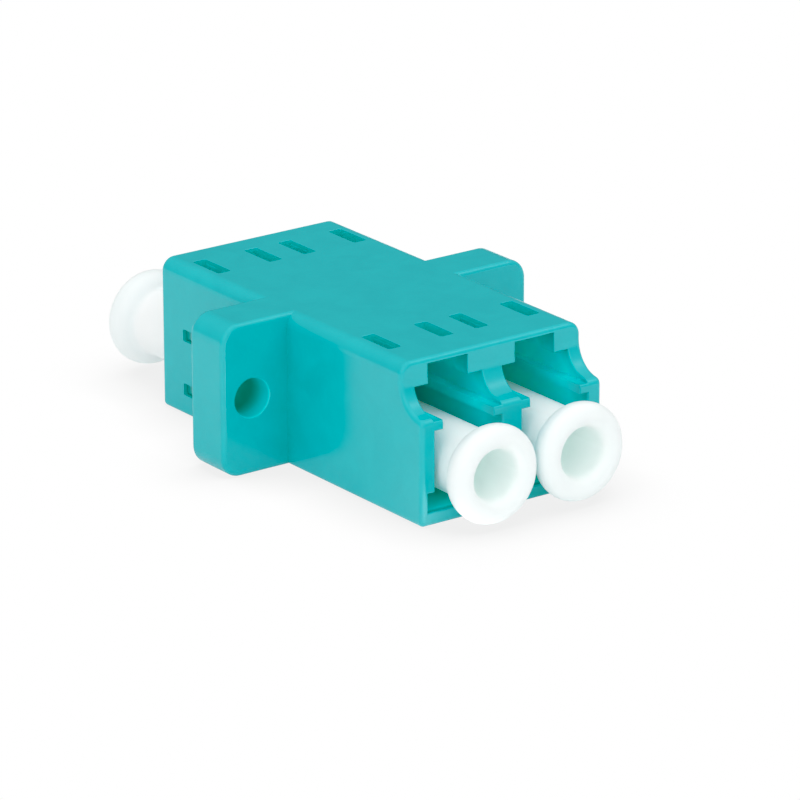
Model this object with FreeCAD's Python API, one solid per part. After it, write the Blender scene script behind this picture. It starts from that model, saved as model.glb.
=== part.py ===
import FreeCAD, Part
import os
import math

V = FreeCAD.Vector

# Duplex flanged fibre adapter, millimetres.
# X across the flange, Y along the fibres (front is -Y), Z up.
# Origin: middle of the two flange holes, on the flange's rear (panel) face.

# ---------------------------------------------------------------- housing
BODY_W = 13.0            # width of the body
BODY_H = 9.4             # height of the body and of the flange
Y_REAR = 9.83            # plain rear end
Y_FRONT_LOW = -16.60     # lower part of the front end
Y_FRONT_UP = -14.60      # upper part of the front end, set back
Z_STEP = 1.76            # height of the step between them
R_SCOOP = 1.84           # hollow curve from the step up to the set-back part
R_STEP = 0.42            # rounded corner of the step
R_TOP = 0.84             # long top edges
R_BOTTOM = 0.3           # long bottom edges
R_ENDS = 0.30            # edges round both ends

FLANGE_W = 22.2
FLANGE_T = 3.35
FLANGE_R = 1.25          # corners of the flange
FLANGE_EDGE = 0.28       # edges of the flange
FLANGE_DRAFT = 0.02      # how much the flange's rear outline is smaller, each side
HOLE_D = 2.4             # flange screw holes
HOLE_SPACING = 18.0
HOLE_EDGE = 0.12

# ---------------------------------------------------------------- ports
PITCH = 6.25             # between the two fibres
Y_MID = -2.05            # plane where the fibre ends meet
Z_AXIS = -1.42           # height of the fibres
PLUG_HALF = 2.40         # half width of the plug channel
PLUG_Z0 = -3.86          # floor of the plug channel
PLUG_Z1 = 1.02           # underside of the latch rails
FOOT_HALF = 2.90         # half width of the wider foot of the channel
FOOT_Z1 = -2.68
RAIL_GAP_HALF = 1.80     # half gap between the latch rails
RAIL_Z1 = 1.58           # top of the latch rails
LATCH_HALF = 2.40        # half width of the latch channel
LATCH_Z1 = 3.11          # underside of the locking blocks
SLOT_HALF = 1.41         # half gap between the locking blocks
SLOT_Z1 = 4.37           # ceiling
WALL_FRONT = 1.4         # front of the mid wall, ahead of Y_MID
WALL_REAR = 0.4          # rear of the mid wall, behind Y_MID
LATCH_END = 3.2          # where the latch channels end, from Y_MID
WIN_X0 = 1.42            # top latch windows, from the port centre
WIN_X1 = 2.32
WIN_Y0 = 7.25            # from Y_MID
WIN_Y1 = 9.98
WIN_R = 0.12
WIN_EDGE = 0.05          # rounding of the window rims
MOUTH_EDGE = 0.10        # rounding of the port mouths

# ---------------------------------------------------------------- guide tubes
TUBE_D = 2.8
TUBE_END = 4.3           # from Y_MID
SLEEVE_ROOM_D = 1.8
SLEEVE_ROOM_END = 3.55
TUBE_MOUTH_D = 1.42
TUBE_LEAD = 0.35         # lead-in cone at the tube's end
TUBE_EDGE = 0.15

# ---------------------------------------------------------------- split sleeve
SLEEVE_OD = 1.62
SLEEVE_ID = 1.25
SLEEVE_L = 6.8
SLEEVE_SLIT = 0.28

# ---------------------------------------------------------------- sleeve holder
HOLDER_T = 1.0           # plate
HOLDER_GAP = 0.05        # clearance to the channel walls
ARM_H = 0.6              # snap arms, height
ARM_X0 = 2.44            # from the port centre
ARM_X1 = 2.84
ARM_Z = (0.39, -3.05)    # heights of the upper and the lower arm
SNAP_Y0 = 6.32           # side snap windows
SNAP_Y1 = 7.52
SNAP_H = 0.74
SNAP_R = 0.1
LUG_X1 = 3.14            # how far the snap lugs reach out
GROOVE_H = 0.72          # groove for the upper arm

# ---------------------------------------------------------------- dust caps
CAP_STEM_D = 4.2
CAP_HEAD_D = 5.96
CAP_FACE_R = 0.72        # round from the rim over to the face
CAP_BACK_R = 1.25        # fuller round from the rim back to the stem
CAP_MOUTH_R = 0.72       # round from the face into the bore
CAP_NECK_R = 0.50        # corner between the head's back and the stem
CAP_LEN = 15.15          # from the head's face to the inner end
CAP_BORE_D = 3.04        # blind bore in the head's face
CAP_BORE_L = 5.2
CAP_BORE_DRAFT = 0.08    # how much narrower the bore is at its floor, each side
CAP_FLOOR_R = 0.3
CAP_SOCKET_D = 2.9       # goes over the guide tube
CAP_SOCKET_L = 2.0
CAP_END_CHAMFER = 0.15
CAP_FACE_FRONT = 17.50   # head's face from Y_MID, front caps
CAP_FACE_REAR = 18.80    # the same, rear caps, which sit a little further out

PORTS = {"left": -PITCH / 2, "right": PITCH / 2}


def box(x0, x1, y0, y1, z0, z1):
    return Part.makeBox(x1 - x0, y1 - y0, z1 - z0, V(x0, y0, z0))


def cyl(d, x, z, y0, y1):
    """Cylinder along +Y."""
    return Part.makeCylinder(d / 2, y1 - y0, V(x, y0, z), V(0, 1, 0))


def cone(d0, d1, x, z, y0, y1):
    return Part.makeCone(d0 / 2, d1 / 2, y1 - y0, V(x, y0, z), V(0, 1, 0))


def polyline_rounded(points):
    """Closed wire from (a, b, radius) corners, in the plane's own two axes."""
    n = len(points)
    ends = []
    for i in range(n):
        a0, b0, _ = points[i - 1]
        a1, b1, r = points[i]
        a2, b2, _ = points[(i + 1) % n]
        u = (a0 - a1, b0 - b1)
        w = (a2 - a1, b2 - b1)
        lu, lw = math.hypot(*u), math.hypot(*w)
        u = (u[0] / lu, u[1] / lu)
        w = (w[0] / lw, w[1] / lw)
        if r <= 0:
            ends.append(((a1, b1), None, (a1, b1)))
            continue
        ang = math.acos(max(-1, min(1, u[0] * w[0] + u[1] * w[1])))
        t = r / math.tan(ang / 2)
        p = (a1 + u[0] * t, b1 + u[1] * t)
        q = (a1 + w[0] * t, b1 + w[1] * t)
        bis = (u[0] + w[0], u[1] + w[1])
        lb = math.hypot(*bis)
        h = r / math.sin(ang / 2) - r
        m = (a1 + bis[0] / lb * h, b1 + bis[1] / lb * h)
        ends.append((p, m, q))
    return ends


def wire_from(points, to3):
    ends = polyline_rounded(points)
    edges = []
    n = len(ends)
    for i in range(n):
        p, m, q = ends[i]
        if m is not None:
            edges.append(Part.Arc(to3(p), to3(m), to3(q)).toShape())
        nxt = ends[(i + 1) % n][0]
        if math.hypot(q[0] - nxt[0], q[1] - nxt[1]) > 1e-7:
            edges.append(Part.LineSegment(to3(q), to3(nxt)).toShape())
    return Part.Wire(edges)


def prism_y(points, y0, y1):
    """Prism along Y of an (x, z) outline."""
    w = wire_from(points, lambda p: V(p[0], y0, p[1]))
    return Part.Face(w).extrude(V(0, y1 - y0, 0))


def rounded_rect(hw, z0, z1, r_low, r_high):
    return [(-hw, z0, r_low), (hw, z0, r_low), (hw, z1, r_high), (-hw, z1, r_high)]


def on_plane_y(e, y, tol=1e-4):
    b = e.BoundBox
    return abs(b.YMin - y) < tol and abs(b.YMax - y) < tol


def one_solid(shape, name):
    s = shape.Solids
    if len(s) != 1:
        raise RuntimeError(name + " has %d solids" % len(s))
    return s[0]


# ------------------------------------------------------------------ housing
def outer_body():
    h = BODY_H / 2
    hw = BODY_W / 2
    # side view: a closed outline in (y, z)
    y3 = lambda p: V(-hw, p[0], p[1])
    # scoop: a quarter circle that meets the set-back front plane
    cz = Z_STEP + R_SCOOP
    cy = Y_FRONT_UP - R_SCOOP
    # convex corner of the step, tangent to the front plane and to the scoop
    yc = Y_FRONT_LOW + R_STEP
    zc = cz - math.sqrt((R_SCOOP + R_STEP) ** 2 - (yc - cy) ** 2)
    k = R_SCOOP / (R_SCOOP + R_STEP)
    ty, tz = cy + (yc - cy) * k, cz + (zc - cz) * k
    am = (math.pi + math.atan2(tz - zc, ty - yc)) / 2
    step_mid = (yc + R_STEP * math.cos(am), zc + R_STEP * math.sin(am))
    bm = math.atan2(tz - cz, ty - cy) / 2
    scoop_mid = (cy + R_SCOOP * math.cos(bm), cz + R_SCOOP * math.sin(bm))
    p = [
        (Y_FRONT_LOW, -h),
        (Y_FRONT_LOW, zc),
        (ty, tz),
        (Y_FRONT_UP, cz),
        (Y_FRONT_UP, h),
        (Y_REAR, h),
        (Y_REAR, -h),
    ]
    line = lambda a, b: Part.LineSegment(y3(a), y3(b)).toShape()
    arc = lambda a, m, b: Part.Arc(y3(a), y3(m), y3(b)).toShape()
    edges = [
        line(p[0], p[1]),
        arc(p[1], step_mid, p[2]),
        arc(p[2], scoop_mid, p[3]),
        line(p[3], p[4]),
        line(p[4], p[5]),
        line(p[5], p[6]),
        line(p[6], p[0]),
    ]
    side = Part.Face(Part.Wire(edges)).extrude(V(BODY_W, 0, 0))
    front = prism_y(rounded_rect(hw, -h, h, R_BOTTOM, R_TOP), Y_FRONT_LOW - 1, Y_REAR + 1)
    return one_solid(side.common(front), "body")


def flange():
    h = BODY_H / 2
    hw = FLANGE_W / 2
    d = FLANGE_DRAFT

    def outline(y, k):
        pts = rounded_rect(hw - k, -h, h, FLANGE_R, FLANGE_R)
        return wire_from(pts, lambda p: V(p[0], y, p[1]))

    loft = Part.makeLoft([outline(-FLANGE_T, 0), outline(0, d)], True, True)
    loops = [e for e in loft.Edges if on_plane_y(e, -FLANGE_T) or on_plane_y(e, 0)]
    return one_solid(loft.makeFillet(FLANGE_EDGE, loops), "flange")


def port_cut(x, sign):
    """Plug channel, rails, latch channel and ceiling slot of one port."""
    far = Y_FRONT_LOW - 1 if sign < 0 else Y_REAR + 1
    deep = Y_MID - WALL_FRONT if sign < 0 else Y_MID + WALL_REAR
    shallow = Y_MID + sign * LATCH_END
    y0, y1 = sorted((far, deep))
    ya, yb = sorted((far, shallow))
    plug = box(x - PLUG_HALF, x + PLUG_HALF, y0, y1, PLUG_Z0, PLUG_Z1)
    foot = box(x - FOOT_HALF, x + FOOT_HALF, y0, y1, PLUG_Z0, FOOT_Z1)
    gap = box(x - RAIL_GAP_HALF, x + RAIL_GAP_HALF, ya, yb, PLUG_Z1 - 0.5, RAIL_Z1 + 0.5)
    latch = box(x - LATCH_HALF, x + LATCH_HALF, ya, yb, RAIL_Z1, LATCH_Z1)
    slot = box(x - SLOT_HALF, x + SLOT_HALF, ya, yb, LATCH_Z1 - 0.5, SLOT_Z1)
    return plug.fuse([foot, gap, latch, slot]).removeSplitter()


def window_cut(x, sign):
    """The two latch windows over one port, open into the latch channel."""
    ya, yb = sorted((Y_MID + sign * WIN_Y0, Y_MID + sign * WIN_Y1))
    out = []
    for k in (-1, 1):
        x0, x1 = sorted((x + k * WIN_X0, x + k * WIN_X1))
        pts = [(x0, ya, WIN_R), (x1, ya, WIN_R), (x1, yb, WIN_R), (x0, yb, WIN_R)]
        w = wire_from(pts, lambda p: V(p[0], p[1], LATCH_Z1 - 0.3))
        out.append(Part.Face(w).extrude(V(0, 0, BODY_H)))
    return out


def end_loops(s):
    """The edges all round the two ends of the body."""
    out = []
    for e in s.Edges:
        b = e.BoundBox
        along = b.YLength > 5
        across = b.XLength > 8 and abs(b.ZMax) < BODY_H / 2 - 1e-3
        if not along and not across:
            out.append(e)
    return out


def housing_blank():
    s = outer_body()
    s = s.makeFillet(R_ENDS, end_loops(s))
    return s.fuse(flange()).removeSplitter()


def mouth_edges(s):
    """Edges round the port mouths at both ends, without the smooth lines of the front end."""
    out = []
    for e in s.Edges:
        b = e.BoundBox
        inside = max(abs(b.XMin), abs(b.XMax)) < BODY_W / 2 - R_ENDS - 0.1
        inside = inside and b.ZMin > -BODY_H / 2 + R_ENDS + 0.1 and b.ZMax < BODY_H / 2 - R_ENDS - 0.1
        front = b.YMax < Y_FRONT_UP + 0.2
        rear = b.YMin > Y_REAR - 1e-4
        smooth = b.XMin < -1e-3 and b.XMax > 1e-3 and b.ZLength < 1e-4
        if inside and (rear or (front and not smooth)):
            out.append(e)
    return out


def guide_tube(x, sign, y_from):
    """Tube round the sleeve, from y_from out to its mouth, solid."""
    y_end = Y_MID + sign * TUBE_END
    y0, y1 = sorted((y_from, y_end))
    t = cyl(TUBE_D, x, Z_AXIS, y0, y1)
    rim = [e for e in t.Edges if on_plane_y(e, y_end)]
    return t.makeFillet(TUBE_EDGE, rim)


def guide_bore(x, sign, y_from):
    """Room for the sleeve, the smaller mouth that keeps it in, and the lead-in."""
    y_room = Y_MID + sign * SLEEVE_ROOM_END
    y_end = Y_MID + sign * TUBE_END
    room = cyl(SLEEVE_ROOM_D, x, Z_AXIS, *sorted((y_from, y_room)))
    mouth = cyl(TUBE_MOUTH_D, x, Z_AXIS, *sorted((y_room - sign * 0.2, y_end + sign * 0.2)))
    wide = TUBE_MOUTH_D + 2 * TUBE_LEAD
    if sign < 0:
        lead = cone(wide, TUBE_MOUTH_D, x, Z_AXIS, y_end, y_end + TUBE_LEAD)
    else:
        lead = cone(TUBE_MOUTH_D, wide, x, Z_AXIS, y_end - TUBE_LEAD, y_end)
    return room.fuse([mouth, lead]).removeSplitter()


def screw_hole(x):
    h = cyl(HOLE_D, x, 0, -FLANGE_T - 1, 1)
    e = HOLE_EDGE
    # rounded rims, as a ring of material taken off each face
    rims = []
    for y, s in ((-FLANGE_T, 1), (0, -1)):
        r = HOLE_D / 2
        a = V(x + r, y + s * e, 0)
        m = V(x + r + e * (1 - math.sqrt(0.5)), y + s * e * (1 - math.sqrt(0.5)), 0)
        b = V(x + r + e, y, 0)
        c = V(x, y, 0)
        d = V(x, y + s * e, 0)
        w = Part.Wire([
            Part.Arc(a, m, b).toShape(),
            Part.LineSegment(b, c).toShape(),
            Part.LineSegment(c, d).toShape(),
            Part.LineSegment(d, a).toShape(),
        ])
        rims.append(Part.Face(w).revolve(V(x, 0, 0), V(0, 1, 0), 360))
    return [h] + rims


def snap_cuts(x):
    """Groove for the upper snap arm and the two side windows of one rear port."""
    k = 1 if x > 0 else -1
    zu, zl = ARM_Z
    xs = sorted((x + k * (PLUG_HALF - 0.2), x + k * FOOT_HALF))
    groove = box(xs[0], xs[1], Y_MID + WALL_REAR, Y_REAR + 1, zu - GROOVE_H / 2, zu + GROOVE_H / 2)
    out = [groove]
    ws = sorted((x + k * (PLUG_HALF + 0.1), k * (BODY_W / 2 + 1)))
    for z in (zu, zl):
        pts = [(y, zz, SNAP_R) for y, zz in (
            (SNAP_Y0, z - SNAP_H / 2), (SNAP_Y1, z - SNAP_H / 2),
            (SNAP_Y1, z + SNAP_H / 2), (SNAP_Y0, z + SNAP_H / 2))]
        w = wire_from(pts, lambda p: V(ws[0], p[0], p[1]))
        out.append(Part.Face(w).extrude(V(ws[1] - ws[0], 0, 0)))
    return out


def housing():
    s = housing_blank()
    cuts = []
    for x in PORTS.values():
        for sign in (-1, 1):
            cuts.append(port_cut(x, sign))
        cuts.append(snap_cuts(x)[0])
    s = s.cut(cuts).removeSplitter()
    s = s.makeFillet(MOUTH_EDGE, mouth_edges(s))
    cuts = []
    for x in PORTS.values():
        for sign in (-1, 1):
            cuts += window_cut(x, sign)
        cuts += snap_cuts(x)[1:]
    for k in (-1, 1):
        cuts += screw_hole(k * HOLE_SPACING / 2)
    s = s.cut(cuts)
    rims = [e for e in s.Edges if window_rim(e)]
    s = s.makeFillet(WIN_EDGE, rims)
    tubes = [guide_tube(x, -1, Y_MID - WALL_FRONT + 0.3) for x in PORTS.values()]
    bores = [guide_bore(x, -1, Y_MID + WALL_REAR + 0.2) for x in PORTS.values()]
    return one_solid(s.fuse(tubes).cut(bores), "housing")


def window_rim(e):
    """Outer rims of the latch windows that lie in the flat top."""
    b = e.BoundBox
    top = abs(b.ZMin - BODY_H / 2) < 1e-4 and b.ZLength < 1e-4
    flat = max(abs(b.XMin), abs(b.XMax)) < BODY_W / 2 - R_TOP - 0.02
    front = Y_MID - WIN_Y1 - 0.01 < b.YMin and b.YMax < Y_MID - WIN_Y0 + 0.01
    rear = Y_MID + WIN_Y0 - 0.01 < b.YMin and b.YMax < Y_MID + WIN_Y1 + 0.01
    return top and flat and (front or rear)


# ------------------------------------------------------------ sleeve holders
def sleeve_holder(x):
    k = 1 if x > 0 else -1
    g = HOLDER_GAP
    y0 = Y_MID + WALL_REAR
    y1 = y0 + HOLDER_T
    plate = prism_y(
        [(x - PLUG_HALF + g, PLUG_Z0 + g, 0.15), (x + PLUG_HALF - g, PLUG_Z0 + g, 0.15),
         (x + PLUG_HALF - g, PLUG_Z1 - g, 0.15), (x - PLUG_HALF + g, PLUG_Z1 - g, 0.15)], y0, y1)
    solids = [guide_tube(x, 1, y1 - 0.3)]
    for z in ARM_Z:
        root = sorted((x + k * (PLUG_HALF - g - 0.4), x + k * ARM_X1))
        solids.append(box(root[0], root[1], y0, y1, z - ARM_H / 2, z + ARM_H / 2))
        xs = sorted((x + k * ARM_X0, x + k * ARM_X1))
        y_end = SNAP_Y1 - 0.06
        solids.append(box(xs[0], xs[1], y0, y_end, z - ARM_H / 2, z + ARM_H / 2))
        # wedge lug: a ramp at its leading side, a square catch at the rear
        lug = [(x + k * (ARM_X1 - 0.1), SNAP_Y0 + 0.06), (x + k * ARM_X1, SNAP_Y0 + 0.06),
               (x + k * LUG_X1, SNAP_Y0 + 0.62), (x + k * LUG_X1, y_end), (x + k * (ARM_X1 - 0.1), y_end)]
        w = Part.makePolygon([V(a, b, z - ARM_H / 2) for a, b in lug] + [V(lug[0][0], lug[0][1], z - ARM_H / 2)])
        solids.append(Part.Face(w).extrude(V(0, 0, ARM_H)))
    s = plate.fuse(solids).removeSplitter()
    return one_solid(s.cut(guide_bore(x, 1, y0 - 0.2)), "sleeve holder")


# -------------------------------------------------------------- split sleeves
def split_sleeve(x):
    y0, y1 = Y_MID - SLEEVE_L / 2, Y_MID + SLEEVE_L / 2
    outer = cyl(SLEEVE_OD, x, Z_AXIS, y0, y1)
    outer = outer.makeChamfer(0.06, [e for e in outer.Edges if on_plane_y(e, y0) or on_plane_y(e, y1)])
    s = outer.cut(cyl(SLEEVE_ID, x, Z_AXIS, y0 - 1, y1 + 1))
    h = SLEEVE_SLIT / 2
    return one_solid(s.cut(box(x - h, x + h, y0 - 1, y1 + 1, Z_AXIS, Z_AXIS + SLEEVE_OD)), "split sleeve")


# ------------------------------------------------------------------ dust caps
def dust_cap(x, sign, face):
    """Turned shape about the fibre axis: stem, ring-shaped head, blind bore, socket."""
    rs, rh, rb, rk = CAP_STEM_D / 2, CAP_HEAD_D / 2, CAP_BORE_D / 2, CAP_SOCKET_D / 2
    t, k, n, m = CAP_FACE_R, CAP_BACK_R, CAP_NECK_R, CAP_MOUTH_R
    inner = face - CAP_LEN
    rim = face - t
    q = math.sqrt(0.5)
    p3 = lambda r, d: V(x + r, Y_MID + sign * d, Z_AXIS)
    line = lambda a, b: Part.LineSegment(p3(*a), p3(*b)).toShape()
    arc = lambda a, b, d: Part.Arc(p3(*a), p3(*b), p3(*d)).toShape()
    # neck: a small hollow arc tangent to the stem and to the back of the head,
    # its centre lies n off the stem and k + n from the centre of the back's round
    c = rh - k
    nr = rs + n
    nd = rim - math.sqrt((k + n) ** 2 - (nr - c) ** 2)
    u = n / (k + n)
    tr, td = nr + (c - nr) * u, nd + (rim - nd) * u
    am = (math.pi + math.atan2(td - nd, tr - nr)) / 2
    neck_mid = (nr + n * math.cos(am), nd + n * math.sin(am))
    bm = math.atan2(td - rim, tr - c) / 2
    back_mid = (c + k * math.cos(bm), rim + k * math.sin(bm))
    floor = face - CAP_BORE_L
    rb1 = rb - CAP_BORE_DRAFT
    f = CAP_FLOOR_R
    e = CAP_END_CHAMFER
    sock = inner + CAP_SOCKET_L
    edges = [
        line((0, floor), (rb1 - f, floor)),
        arc((rb1 - f, floor), (rb1 - f + f * q, floor + f - f * q), (rb1, floor + f)),
        line((rb1, floor + f), (rb, face - m)),
        arc((rb, face - m), (rb + m - m * q, face - m + m * q), (rb + m, face)),
        line((rb + m, face), (rh - t, face)),
        arc((rh - t, face), (rh - t + t * q, rim + t * q), (rh, rim)),
        arc((rh, rim), back_mid, (tr, td)),
        arc((tr, td), neck_mid, (rs, nd)),
        line((rs, nd), (rs, inner + e)),
        line((rs, inner + e), (rs - e, inner)),
        line((rs - e, inner), (rk + e, inner)),
        line((rk + e, inner), (rk, inner + e)),
        line((rk, inner + e), (rk, sock)),
        line((rk, sock), (0, sock)),
        line((0, sock), (0, floor)),
    ]
    face2d = Part.Face(Part.Wire(edges))
    return one_solid(face2d.revolve(V(x, 0, Z_AXIS), V(0, 1, 0), 360), "dust cap")


def build():
    nodes = {"housing": housing()}
    for side, x in PORTS.items():
        nodes["sleeve_holder_" + side] = sleeve_holder(x)
        nodes["split_sleeve_" + side] = split_sleeve(x)
        nodes["dust_cap_front_" + side] = dust_cap(x, -1, CAP_FACE_FRONT)
        nodes["dust_cap_rear_" + side] = dust_cap(x, 1, CAP_FACE_REAR)
    return nodes


def main():
    os.makedirs("parts", exist_ok=True)
    for name, shape in build().items():
        b = shape.BoundBox
        print("%-22s valid %s  %8.3f mm3  x %.2f %.2f  y %.2f %.2f  z %.2f %.2f" % (
            name, shape.isValid(), shape.Volume, b.XMin, b.XMax, b.YMin, b.YMax, b.ZMin, b.ZMax))
        shape.exportStep("parts/" + name + ".step")


if __name__ == "__main__":
    main()
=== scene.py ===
import bpy
import math
from mathutils import Matrix, Vector


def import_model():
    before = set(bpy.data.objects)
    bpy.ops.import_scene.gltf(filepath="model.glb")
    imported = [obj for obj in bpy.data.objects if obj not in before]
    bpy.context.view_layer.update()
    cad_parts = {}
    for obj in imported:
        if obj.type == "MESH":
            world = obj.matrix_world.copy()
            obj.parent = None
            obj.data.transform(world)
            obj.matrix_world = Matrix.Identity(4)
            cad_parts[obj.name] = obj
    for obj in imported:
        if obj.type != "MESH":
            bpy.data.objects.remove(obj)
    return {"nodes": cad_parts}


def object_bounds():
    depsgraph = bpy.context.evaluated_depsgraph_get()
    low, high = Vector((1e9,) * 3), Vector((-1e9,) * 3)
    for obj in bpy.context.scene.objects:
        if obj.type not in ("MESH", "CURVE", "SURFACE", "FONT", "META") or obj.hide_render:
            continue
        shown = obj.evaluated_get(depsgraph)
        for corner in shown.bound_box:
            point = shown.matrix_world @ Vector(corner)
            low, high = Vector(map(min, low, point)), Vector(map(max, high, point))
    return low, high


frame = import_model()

CAD_LO, CAD_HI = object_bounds()
MM = 0.001
CAM_AZ = math.radians(36.178)
NODES = frame["nodes"]


# ------------------------------------------------------------------ node helper
class Tree:
    """Short way to make and link shader nodes."""

    def __init__(self, tree):
        self.t = tree
        self.t.nodes.clear()

    def add(self, kind, **values):
        n = self.t.nodes.new(kind)
        for key, v in values.items():
            setattr(n, key, v)
        return n

    def link(self, a, b):
        self.t.links.new(a, b)

    def noise(self, vec, scale, detail=2.0, rough=0.5, distort=0.0):
        n = self.add("ShaderNodeTexNoise")
        n.noise_dimensions = "3D"
        n.inputs["Scale"].default_value = scale
        n.inputs["Detail"].default_value = detail
        n.inputs["Roughness"].default_value = rough
        n.inputs["Distortion"].default_value = distort
        self.link(vec, n.inputs["Vector"])
        return n.outputs["Fac"]

    def remap(self, fac, a0, a1, b0, b1):
        n = self.add("ShaderNodeMapRange")
        n.clamp = True
        for key, v in zip(("From Min", "From Max", "To Min", "To Max"), (a0, a1, b0, b1)):
            n.inputs[key].default_value = v
        self.link(fac, n.inputs["Value"])
        return n.outputs["Result"]

    def math(self, op, a, b):
        n = self.add("ShaderNodeMath", operation=op)
        for i, x in enumerate((a, b)):
            if isinstance(x, (int, float)):
                n.inputs[i].default_value = x
            else:
                self.link(x, n.inputs[i])
        return n.outputs[0]

    def mix(self, fac, a, b, blend="MIX"):
        n = self.add("ShaderNodeMix", data_type="RGBA", blend_type=blend)
        for sock, x in ((n.inputs[0], fac), (n.inputs[6], a), (n.inputs[7], b)):
            if isinstance(x, (int, float)):
                sock.default_value = x
            elif isinstance(x, (tuple, list)):
                sock.default_value = (*x, 1.0)
            else:
                self.link(x, sock)
        return n.outputs[2]

    def bump(self, height, strength, distance, normal=None):
        n = self.add("ShaderNodeBump")
        n.inputs["Strength"].default_value = strength
        n.inputs["Distance"].default_value = distance
        self.link(height, n.inputs["Height"])
        if normal is not None:
            self.link(normal, n.inputs["Normal"])
        return n.outputs["Normal"]

    def object_mm(self):
        """Coordinates on the piece itself, in millimetres."""
        c = self.add("ShaderNodeTexCoord")
        m = self.add("ShaderNodeVectorMath", operation="SCALE")
        m.inputs["Scale"].default_value = 1000.0
        self.link(c.outputs["Object"], m.inputs[0])
        return m.outputs[0]


def new_material(name):
    m = bpy.data.materials.new(name)
    m.use_nodes = True
    t = Tree(m.node_tree)
    out = t.add("ShaderNodeOutputMaterial")
    p = t.add("ShaderNodeBsdfPrincipled")
    t.link(p.outputs[0], out.inputs[0])
    return m, t, p


# -------------------------------------------------------------------- materials
AQUA_DEEP = (0.0005, 0.473, 0.521)
AQUA_PALE = (0.0030, 0.506, 0.550)
# painted light: the port insides are coloured brighter and greener than the skin, and the port floors brighter still
AQUA_INNER_PAINTED_LIGHT = (0.0010, 0.800, 0.840)
AQUA_PORT_FLOOR_PAINTED_LIGHT = (0.0010, 0.950, 0.960)
# painted shade deep in the flange holes and painted light at their front end
AQUA_HOLE_PAINTED_SHADE = (0.0008, 0.440, 0.440)
AQUA_HOLE_FRONT_PAINTED_LIGHT = (0.0010, 0.680, 0.720)
# painted light: the walls of the top slots and side windows are coloured lighter than the skin
AQUA_SLOT_PAINTED_LIGHT = (0.0010, 0.620, 0.640)


def inside_ports(t, xyz):
    """1 on the walls inside the plug ports, 0 on the outer skin, the scoops and the top slots; fades in behind the faces."""
    x, y, z = xyz
    off = t.math("ABSOLUTE", t.math("SUBTRACT", t.math("ABSOLUTE", x, 0.0), 3.125), 0.0)
    across = t.math("LESS_THAN", off, t.remap(z, -2.72, -2.66, 2.95, 2.44))
    top = t.remap(off, 1.43, 1.45, 4.45, 3.20)
    high = t.math("MULTIPLY", t.math("GREATER_THAN", z, -3.95), t.math("LESS_THAN", z, top))
    face = t.remap(z, 1.6, 3.6, -16.6, -14.6)
    over = t.remap(z, -3.2, -2.4, 0.3, 1.6)
    front = t.math("DIVIDE", t.math("SUBTRACT", t.math("SUBTRACT", y, face), 0.2), over)
    rear = t.math("DIVIDE", t.math("SUBTRACT", 9.63, y), over)
    deep = t.remap(t.math("MINIMUM", front, rear), 0.0, 1.0, 0.0, 1.0)
    return t.math("MULTIPLY", t.math("MULTIPLY", across, high), deep)


def in_openings(t, xyz):
    """1 on the walls of the slots in the top and of the side windows."""
    x, y, z = xyz
    off = t.math("ABSOLUTE", t.math("SUBTRACT", t.math("ABSOLUTE", x, 0.0), 3.125), 0.0)
    along = t.math("ABSOLUTE", t.math("ADD", y, 2.05), 0.0)
    across = t.math("MULTIPLY", t.math("LESS_THAN", off, 2.36), t.math("GREATER_THAN", off, 1.38))
    high = t.math("MULTIPLY", t.math("GREATER_THAN", z, 3.2), t.math("LESS_THAN", z, 4.64))
    slots = t.math("MULTIPLY", t.math("MULTIPLY", across, high), t.math("LESS_THAN", along, 10.1))
    wide = t.math("ABSOLUTE", x, 0.0)
    side = t.math("MULTIPLY", t.math("GREATER_THAN", wide, 5.6), t.math("LESS_THAN", wide, 6.46))
    near = t.math("MULTIPLY", t.math("GREATER_THAN", y, 6.25), t.math("LESS_THAN", y, 7.60))
    mid = t.math("LESS_THAN", t.math("ABSOLUTE", z, 0.0), 3.6)
    return t.math("MAXIMUM", slots, t.math("MULTIPLY", t.math("MULTIPLY", side, near), mid))


def inside_holes(t, xyz):
    """1 on the walls of the two flange holes."""
    x, y, z = xyz
    dx = t.math("SUBTRACT", t.math("ABSOLUTE", x, 0.0), 9.0)
    r2 = t.math("ADD", t.math("MULTIPLY", dx, dx), t.math("MULTIPLY", z, z))
    return t.math("LESS_THAN", r2, 1.25 ** 2)


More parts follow.
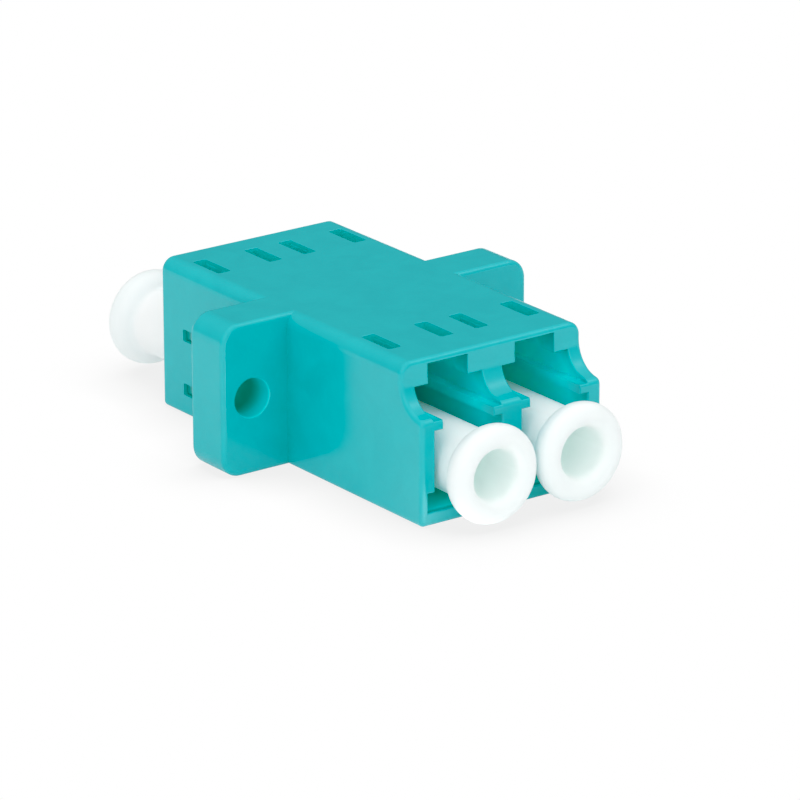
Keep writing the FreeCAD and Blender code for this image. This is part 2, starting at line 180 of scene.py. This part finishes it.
def aqua_plastic(name, rough, insert=False):
    """Glossy moulded plastic: cloudy pigment, fine flow grain, a barely wavy skin, rare rub marks.
    Inside the ports the colour is painted brighter and greener, a painted light for light coming through the thin walls
    and bouncing about there; a subsurface term there also passes some light through."""
    m, t, p = new_material(name)
    v = t.object_mm()
    cloud = t.noise(v, 0.55, 3.0, 0.55, 0.6)
    grain = t.noise(v, 5.5, 3.0, 0.6)
    fine = t.noise(v, 26.0, 2.0, 0.5)
    # pigment: slow clouds with a little grain in them
    mixed = t.math("ADD", t.math("MULTIPLY", cloud, 0.72), t.math("MULTIPLY", grain, 0.28))
    tone = t.remap(mixed, 0.36, 0.64, 0.0, 1.0)
    skin_colour = t.mix(tone, AQUA_DEEP, AQUA_PALE)
    if insert:
        # painted shade: the inserts take the inner colour scaled to about half, darker than the housing skin, so their
        # lugs look shaded in the side windows
        t.link(t.mix(tone, [0.47 * c for c in AQUA_INNER_PAINTED_LIGHT], [0.51 * c for c in AQUA_INNER_PAINTED_LIGHT]), p.inputs["Base Color"])
    else:
        sep = t.add("ShaderNodeSeparateXYZ")
        t.link(v, sep.inputs[0])
        xyz = tuple(sep.outputs)
        inner = inside_ports(t, xyz)
        # painted light and shade in the flange holes: the colour is painted light at their front end and dark further
        # in
        hole = inside_holes(t, xyz)
        hole_painted_light_and_shade = t.mix(t.remap(xyz[1], -2.5, -1.5, 0.0, 1.0), AQUA_HOLE_FRONT_PAINTED_LIGHT, AQUA_HOLE_PAINTED_SHADE)
        skin_colour = t.mix(hole, skin_colour, hole_painted_light_and_shade)
        # painted light on the walls of the top slots and the side windows
        skin_colour = t.mix(in_openings(t, xyz), skin_colour, AQUA_SLOT_PAINTED_LIGHT)
        # painted light inside the ports: a brighter, greener colour, brightest on the port floors
        inner_painted_light = t.mix(t.remap(xyz[2], -3.7, -3.2, 1.0, 0.0), AQUA_INNER_PAINTED_LIGHT, AQUA_PORT_FLOOR_PAINTED_LIGHT)
        t.link(t.mix(inner, skin_colour, inner_painted_light), p.inputs["Base Color"])
        # only the inside shows light from the far side of its walls
        t.link(t.remap(inner, 0.0, 1.0, 0.0, 0.5), p.inputs["Subsurface Weight"])
    # gloss: a little uneven, duller in thin rub marks that run along the piece
    along = t.add("ShaderNodeMapping")
    along.inputs["Scale"].default_value = (2.4, 0.22, 2.4)
    along.inputs["Rotation"].default_value = (0.12, 0.05, 0.2)
    t.link(v, along.inputs["Vector"])
    rub = t.remap(t.noise(along.outputs[0], 2.2, 3.0, 0.65), 0.60, 0.74, 0.0, 0.07)
    uneven = t.remap(cloud, 0.3, 0.7, rough - 0.02, rough + 0.03)
    dull = t.math("ADD", uneven, rub)
    if not insert:
        dull = t.math("ADD", dull, t.math("MULTIPLY", hole, 0.6))
    t.link(dull, p.inputs["Roughness"])
    p.inputs["IOR"].default_value = 1.5
    p.inputs["Subsurface Radius"].default_value = (0.10, 1.0, 0.70)
    p.inputs["Subsurface Scale"].default_value = 3.0 * MM
    skin = t.bump(t.noise(v, 0.35, 1.0, 0.4), 0.10, 0.02 * MM)
    n = t.bump(fine, 0.06, 0.004 * MM, skin)
    n = t.bump(grain, 0.05, 0.008 * MM, n)
    t.link(n, p.inputs["Normal"])
    return m


def cap_plastic(name):
    """Soft white plastic, slightly translucent; the stem is painted lighter and the bore lighter and greener, a painted
    light.
    """
    m, t, p = new_material(name)
    v = t.object_mm()
    cloud = t.noise(v, 0.5, 3.0, 0.55, 0.4)
    grain = t.noise(v, 7.0, 3.0, 0.6)
    fine = t.noise(v, 30.0, 2.0, 0.5)
    mixed = t.math("ADD", t.math("MULTIPLY", cloud, 0.7), t.math("MULTIPLY", grain, 0.3))
    tone = t.remap(mixed, 0.36, 0.64, 0.0, 1.0)
    sep = t.add("ShaderNodeSeparateXYZ")
    t.link(v, sep.inputs[0])
    x, y, z = sep.outputs
    dx = t.math("SUBTRACT", t.math("ABSOLUTE", x, 0.0), 3.125)
    dz = t.math("ADD", z, 1.42)
    r = t.math("SQRT", t.math("ADD", t.math("MULTIPLY", dx, dx), t.math("MULTIPLY", dz, dz)), 0.0)
    # distance from the adapter's middle; the rear caps sit 1.3 mm further out
    out = t.math("SUBTRACT", t.math("ABSOLUTE", t.math("ADD", y, 2.05), 0.0), t.math("MULTIPLY", t.math("GREATER_THAN", y, -2.05), 1.3))
    stem = t.remap(out, 15.4, 16.6, 1.0, 0.0)
    bore = t.remap(r, 1.5, 1.95, 1.0, 0.0)
    head = t.mix(tone, (0.880, 0.951, 0.949), (0.897, 0.960, 0.958))
    # painted light: the stems take the lighter clear colour, and the bores a lighter, greener one
    clear = t.mix(tone, (0.978, 0.995, 0.995), (0.984, 0.998, 0.998))
    bore_painted_light = t.mix(tone, (0.932, 0.993, 0.980), (0.942, 0.996, 0.986))
    t.link(t.mix(bore, t.mix(stem, head, clear), bore_painted_light), p.inputs["Base Color"])
    t.link(t.remap(grain, 0.3, 0.7, 0.34, 0.46), p.inputs["Roughness"])
    p.inputs["IOR"].default_value = 1.5
    p.inputs["Subsurface Weight"].default_value = 0.4
    p.inputs["Subsurface Radius"].default_value = (1.0, 1.0, 1.0)
    p.inputs["Subsurface Scale"].default_value = 0.7 * MM
    n = t.bump(t.noise(v, 0.45, 1.0, 0.4), 0.15, 0.02 * MM)
    n = t.bump(fine, 0.08, 0.004 * MM, n)
    t.link(n, p.inputs["Normal"])
    return m


def zirconia(name):
    """Fine-ground white ceramic, with faint grinding rings round its axis."""
    m, t, p = new_material(name)
    v = t.object_mm()
    rings = t.add("ShaderNodeMapping")
    rings.inputs["Scale"].default_value = (0.3, 40.0, 0.3)
    t.link(v, rings.inputs["Vector"])
    ring = t.noise(rings.outputs[0], 1.0, 2.0, 0.5)
    cloud = t.noise(v, 1.5, 2.0, 0.5)
    t.link(t.mix(cloud, (0.80, 0.79, 0.75), (0.87, 0.86, 0.83)), p.inputs["Base Color"])
    t.link(t.remap(ring, 0.3, 0.7, 0.16, 0.28), p.inputs["Roughness"])
    p.inputs["IOR"].default_value = 2.0
    t.link(t.bump(ring, 0.1, 0.004 * MM), p.inputs["Normal"])
    return m


def give(material, *names):
    for n in names:
        for s in NODES[n].material_slots:
            s.material = material


give(aqua_plastic("aqua_housing", 0.17), "housing")
give(aqua_plastic("aqua_holder_painted_shade", 0.24, insert=True), "sleeve_holder_left", "sleeve_holder_right")
give(zirconia("white_zirconia"), "split_sleeve_left", "split_sleeve_right")
give(cap_plastic("white_cap"), "dust_cap_front_left", "dust_cap_front_right",
     "dust_cap_rear_left", "dust_cap_rear_right")


# ------------------------------------------------------------------------ floor
FLOOR_GLOW = 0.22        # added evenly to the floor's own light
FLOOR_SHEEN = (0.04, 0.45, 2.4, 0.05)   # what the gloss sees besides: everywhere, ahead, close ahead of the front, on the left


def floor():
    z = CAD_LO.z - 0.00002
    r = 3.0
    mesh = bpy.data.meshes.new("floor")
    mesh.from_pydata([(-r, -r, z), (r, -r, z), (r, r, z), (-r, r, z)], [], [(0, 1, 2, 3)])
    o = bpy.data.objects.new("floor", mesh)
    bpy.context.scene.collection.objects.link(o)
    m = bpy.data.materials.new("floor_white")
    m.use_nodes = True
    t = Tree(m.node_tree)
    out = t.add("ShaderNodeOutputMaterial")
    path = t.add("ShaderNodeLightPath")
    # the floor that lights the object: white, with a glow that is stronger towards the viewer
    d = t.add("ShaderNodeBsdfDiffuse")
    d.inputs["Color"].default_value = (0.72, 0.72, 0.72, 1)
    g = t.add("ShaderNodeNewGeometry")
    sep = t.add("ShaderNodeSeparateXYZ")
    t.link(g.outputs["Position"], sep.inputs[0])
    c, s = math.cos(CAM_AZ), math.sin(CAM_AZ)
    x = t.math("MULTIPLY", sep.outputs["X"], 1000.0)
    y = t.math("ADD", t.math("MULTIPLY", sep.outputs["Y"], 1000.0), 3.0)
    ahead = t.math("ADD", t.math("MULTIPLY", x, -s), t.math("MULTIPLY", y, -c))
    right = t.math("ADD", t.math("MULTIPLY", x, c), t.math("MULTIPLY", y, -s))
    patch = t.math("MULTIPLY", t.remap(ahead, 14.0, 16.0, 0.0, 1.0), t.remap(ahead, 19.0, 22.0, 1.0, 0.0))
    strip = t.math("MULTIPLY", t.remap(right, 1.0, 4.0, 0.0, 1.0), t.remap(right, 6.0, 12.0, 1.0, 0.0))
    near_left = t.math("MULTIPLY", patch, strip)
    zones = (None, t.remap(ahead, 9.0, 15.0, 0.0, 1.0), near_left, t.remap(right, -26.0, -6.0, 1.0, 0.0))
    sheen = FLOOR_SHEEN[0]
    for zone, level in zip(zones[1:], FLOOR_SHEEN[1:]):
        sheen = t.math("ADD", t.math("MULTIPLY", zone, level), sheen)
    glow = t.add("ShaderNodeEmission")
    t.link(t.math("ADD", t.math("MULTIPLY", sheen, path.outputs["Is Glossy Ray"]), FLOOR_GLOW), glow.inputs["Strength"])
    lit = t.add("ShaderNodeAddShader")
    t.link(d.outputs[0], lit.inputs[0])
    t.link(glow.outputs[0], lit.inputs[1])
    # the floor as it is seen: plain white emission, with a faint neutral painted shadow, darker by ambient occlusion
    # where the object is near
    ao = t.add("ShaderNodeAmbientOcclusion", samples=16)
    ao.inputs["Distance"].default_value = 0.005
    seen = t.add("ShaderNodeEmission")
    t.link(t.remap(ao.outputs["AO"], 0.40, 0.97, 0.86, 1.0), seen.inputs["Strength"])
    mix = t.add("ShaderNodeMixShader")
    t.link(path.outputs["Is Camera Ray"], mix.inputs[0])
    t.link(lit.outputs[0], mix.inputs[1])
    t.link(seen.outputs[0], mix.inputs[2])
    t.link(mix.outputs[0], out.inputs[0])
    m.cycles.emission_sampling = "NONE"
    mesh.materials.append(m)
    return o


# ------------------------------------------------------------------------ light
# soft panels round the object: azimuth from where the camera stands, positive to its right; elevation; sharpness; level
PANELS = (
    (0, 5, 10.0, 0.63), (30, 5, 10.0, 0.36), (60, 5, 10.0, 0.20), (90, 5, 10.0, 0.25), (120, 5, 10.0, 0.27), (150, 5, 10.0, 0.20),
    (210, 5, 10.0, 0.21), (240, 5, 10.0, 0.28), (270, 5, 10.0, 0.21), (300, 5, 10.0, 0.27), (330, 5, 10.0, 0.46), (0, 36, 10.0, 0.77),
    (40, 36, 10.0, 0.45), (80, 36, 10.0, 0.33), (120, 36, 10.0, 0.36), (160, 36, 10.0, 0.18), (200, 36, 10.0, 0.12), (240, 36, 10.0, 0.30),
    (280, 36, 10.0, 0.32), (320, 36, 10.0, 0.53), (0, 64, 10.0, 0.59), (72, 64, 10.0, 0.45), (144, 64, 10.0, 0.47), (216, 64, 10.0, 0.44),
    (288, 64, 10.0, 0.50), (0, 90, 10.0, 0.52), (95, 50, 50.0, 1.40), (-20, 25, 30.0, 0.43),
)


def towards(az, el):
    a, e = math.radians(az), math.radians(el)
    x = -math.sin(CAM_AZ) * math.cos(a) + math.cos(CAM_AZ) * math.sin(a)
    y = -math.cos(CAM_AZ) * math.cos(a) - math.sin(CAM_AZ) * math.sin(a)
    return (x * math.cos(e), y * math.cos(e), math.sin(e))


def world():
    w = bpy.data.worlds.new("studio")
    bpy.context.scene.world = w
    w.use_nodes = True
    t = Tree(w.node_tree)
    out = t.add("ShaderNodeOutputWorld")
    bg = t.add("ShaderNodeBackground")
    white = t.add("ShaderNodeBackground")
    white.inputs["Color"].default_value = (1, 1, 1, 1)
    c = t.add("ShaderNodeTexCoord")
    total = None
    for az, el, sharp, level in PANELS:
        d = t.add("ShaderNodeVectorMath", operation="DOT_PRODUCT")
        d.inputs[1].default_value = towards(az, el)
        t.link(c.outputs["Generated"], d.inputs[0])
        off = t.math("MULTIPLY", t.math("SUBTRACT", d.outputs["Value"], 1.0), sharp)
        lobe = t.math("MULTIPLY", t.math("EXPONENT", off, 0.0), level)
        total = lobe if total is None else t.math("ADD", total, lobe)
    t.link(total, bg.inputs["Strength"])
    bg.inputs["Color"].default_value = (1.0, 1.0, 1.0, 1)
    lp = t.add("ShaderNodeLightPath")
    mix = t.add("ShaderNodeMixShader")
    t.link(lp.outputs["Is Camera Ray"], mix.inputs[0])
    t.link(bg.outputs[0], mix.inputs[1])
    t.link(white.outputs[0], mix.inputs[2])
    t.link(mix.outputs[0], out.inputs[0])


floor()
world()

# white bores and the ports need many bounces of light
bpy.context.scene.cycles.max_bounces = 20
bpy.context.scene.cycles.diffuse_bounces = 16


# ----------------------------------------------------------------------- camera
def camera():
    a, e, r = math.radians(36.178), math.radians(19.591), math.radians(-0.165)
    tx, ty, dist, f = -1.349, -2.508, 333.918, 5607.27
    d = Vector((-math.sin(a) * math.cos(e), -math.cos(a) * math.cos(e), math.sin(e)))
    fwd = -d
    right = fwd.cross(Vector((0, 0, 1))).normalized()
    up = right.cross(fwd)
    c, s = math.cos(r), math.sin(r)
    r2 = c * right + s * up
    u2 = -s * right + c * up
    at = (-(r2 * tx + u2 * ty + fwd * dist) - Vector((0, 3.35, 4.7))) * MM
    cam = bpy.data.cameras.new("camera")
    cam.sensor_width = 36.0
    cam.lens = f / 800 * 36.0
    cam.clip_start = 0.01
    cam.clip_end = 20.0
    o = bpy.data.objects.new("camera", cam)
    bpy.context.scene.collection.objects.link(o)
    z = d
    o.matrix_world = Matrix(((r2.x, u2.x, z.x, at.x), (r2.y, u2.y, z.y, at.y),
                             (r2.z, u2.z, z.z, at.z), (0, 0, 0, 1)))
    bpy.context.scene.camera = o


camera()

view = bpy.context.scene.view_settings
view.view_transform = "Standard"
view.look = "None"
view.exposure = 0.0
view.gamma = 1.0

# like the photo's colour: the faintest red drops out, and dark blue is held back, which turns shaded aqua greener
view.use_curve_mapping = True
curves = view.curve_mapping
curves.use_clip = False
curves.extend = "EXTRAPOLATED"
RED = ((0.0, 0.0), (0.02, 0.0), (0.12, 0.102), (1.0, 1.0))
BLUE = ((0.0, 0.0), (0.15, 0.098), (0.27, 0.222), (0.36, 0.33), (0.44, 0.436), (1.0, 1.0))
for curve, points in ((curves.curves[0], RED), (curves.curves[2], BLUE)):
    for x, y in points[1:-1]:
        curve.points.new(x, y)
    for p in curve.points:
        p.handle_type = "VECTOR"
curves.update()
